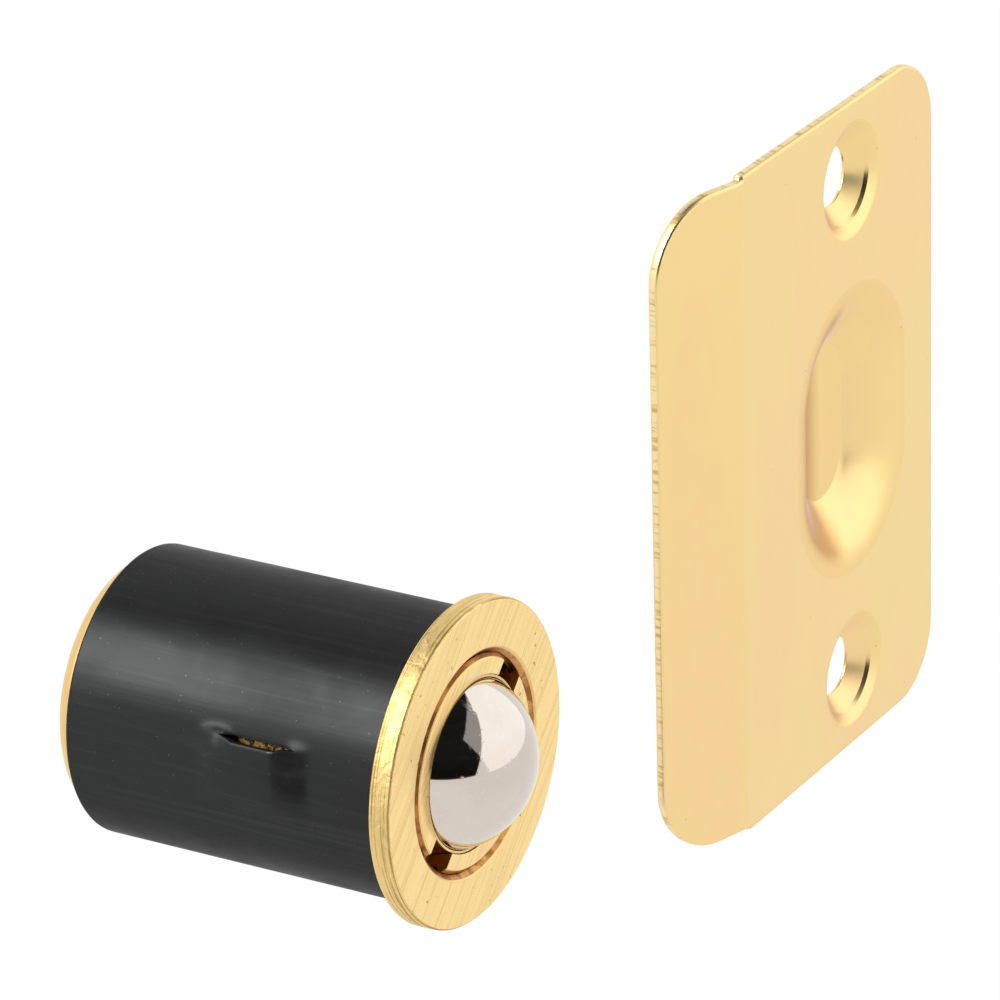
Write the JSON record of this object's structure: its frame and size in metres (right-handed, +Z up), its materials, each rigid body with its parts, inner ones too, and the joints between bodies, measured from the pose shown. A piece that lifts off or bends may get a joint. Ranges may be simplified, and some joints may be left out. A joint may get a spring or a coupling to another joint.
{
  "type": "ball catch",
  "caption": "Drive-in barrel catch: a sprung ball held in a slotted, screw-in ring, in a flanged barrel with side barbs, and its bent-lip strike plate.",
  "frame": {"origin": "where the barrel's axis meets the flange's seating face, the face that lies on the door's edge", "axes": "+X out of the door along the barrel's axis, the way the ball looks; +Z up, along the strike's long side; +Y to the right, from the strike's lip to its far edge"},
  "size_m": [0.062, 0.0453, 0.0723],
  "materials": {
    "black_sleeve": "satin black oxide",
    "case_brass": "brushed face",
    "ring_brass": "satin",
    "cup_brass": "satin",
    "ball_chrome": "polished",
    "spring_steel": "drawn wire",
    "strike_brass": "satin plating"
  },
  "bodies": {
    "case": {"flanged_case": "case_brass", "outer_sleeve": "black_sleeve", "strike_plate": "strike_brass"},
    "cup": {"ball_cup": "cup_brass", "ball_spring": "spring_steel"},
    "ring": {"adjusting_ring": "ring_brass"},
    "ball": {"ball": "ball_chrome"}
  },
  "joints": [
    {"name": "cup_advance", "type": "slide", "parent": "case", "child": "cup", "axis": [1, 0, 0], "range_m": [-0.0015, 0]},
    {"name": "ring_turn", "type": "hinge", "parent": "cup", "child": "ring", "pos_m": [0, 0, 0], "axis": [1, 0, 0], "range_deg": [-630, 0]},
    {"name": "ball_press", "type": "slide", "parent": "cup", "child": "ball", "axis": [-1, 0, 0], "range_m": [0, 0.0048], "stiffness_N_per_m": 3000, "springref_m": -0.004, "deforming": ["ball_spring"]}
  ],
  "couplings": [
    {"joint": "cup_advance", "follows": "ring_turn", "m_per_rad": 0.00012732}
  ]
}
